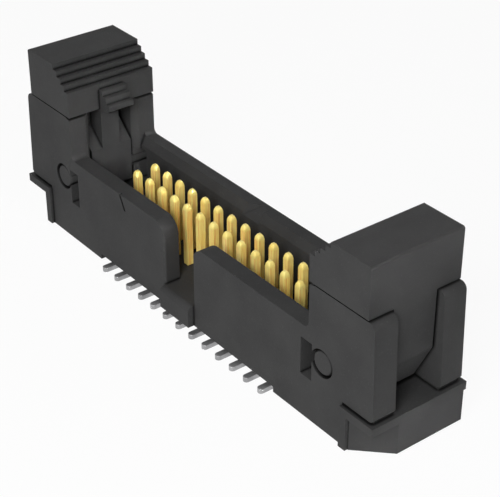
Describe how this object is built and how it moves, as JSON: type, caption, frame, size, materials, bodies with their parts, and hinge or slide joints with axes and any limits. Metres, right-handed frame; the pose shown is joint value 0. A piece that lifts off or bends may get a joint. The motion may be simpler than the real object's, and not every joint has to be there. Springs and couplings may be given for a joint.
{
  "type": "box header",
  "caption": "Surface-mount box header: rows of square contacts in a slim shroud with a polarising notch and a hinged latch lever at each end.",
  "frame": {"origin": "on the board, under the middle of the contact grid", "axes": "+X along the rows, -Y towards the notched wall, +Z away from the board"},
  "size_m": [0.0328, 0.0068, 0.0118],
  "materials": {
    "housing_plastic": "fine satin moulding",
    "lever_plastic": "fine satin moulding",
    "contact_metal": "gold plated above the floor, tin plated on the solder foot"
  },
  "bodies": {
    "housing": {"housing": "housing_plastic", "contact_front_01": "contact_metal", "contact_front_02": "contact_metal", "contact_front_03": "contact_metal", "contact_front_04": "contact_metal", "contact_front_05": "contact_metal", "contact_front_06": "contact_metal", "contact_front_07": "contact_metal", "contact_front_08": "contact_metal", "contact_front_09": "contact_metal", "contact_front_10": "contact_metal", "contact_front_11": "contact_metal", "contact_front_12": "contact_metal", "contact_front_13": "contact_metal", "contact_back_01": "contact_metal", "contact_back_02": "contact_metal", "contact_back_03": "contact_metal", "contact_back_04": "contact_metal", "contact_back_05": "contact_metal", "contact_back_06": "contact_metal", "contact_back_07": "contact_metal", "contact_back_08": "contact_metal", "contact_back_09": "contact_metal", "contact_back_10": "contact_metal", "contact_back_11": "contact_metal", "contact_back_12": "contact_metal", "contact_back_13": "contact_metal"},
    "ejector_left": {"ejector_left": "lever_plastic"},
    "ejector_right": {"ejector_right": "lever_plastic"}
  },
  "joints": [
    {"name": "ejector_left_hinge", "type": "hinge", "parent": "housing", "child": "ejector_left", "pos_m": [-0.01225, 0, 0.00448], "axis": [0, 1, 0], "range_deg": [0, 15]},
    {"name": "ejector_right_hinge", "type": "hinge", "parent": "housing", "child": "ejector_right", "pos_m": [0.01225, 0, 0.00448], "axis": [0, -1, 0], "range_deg": [0, 15]}
  ]
}
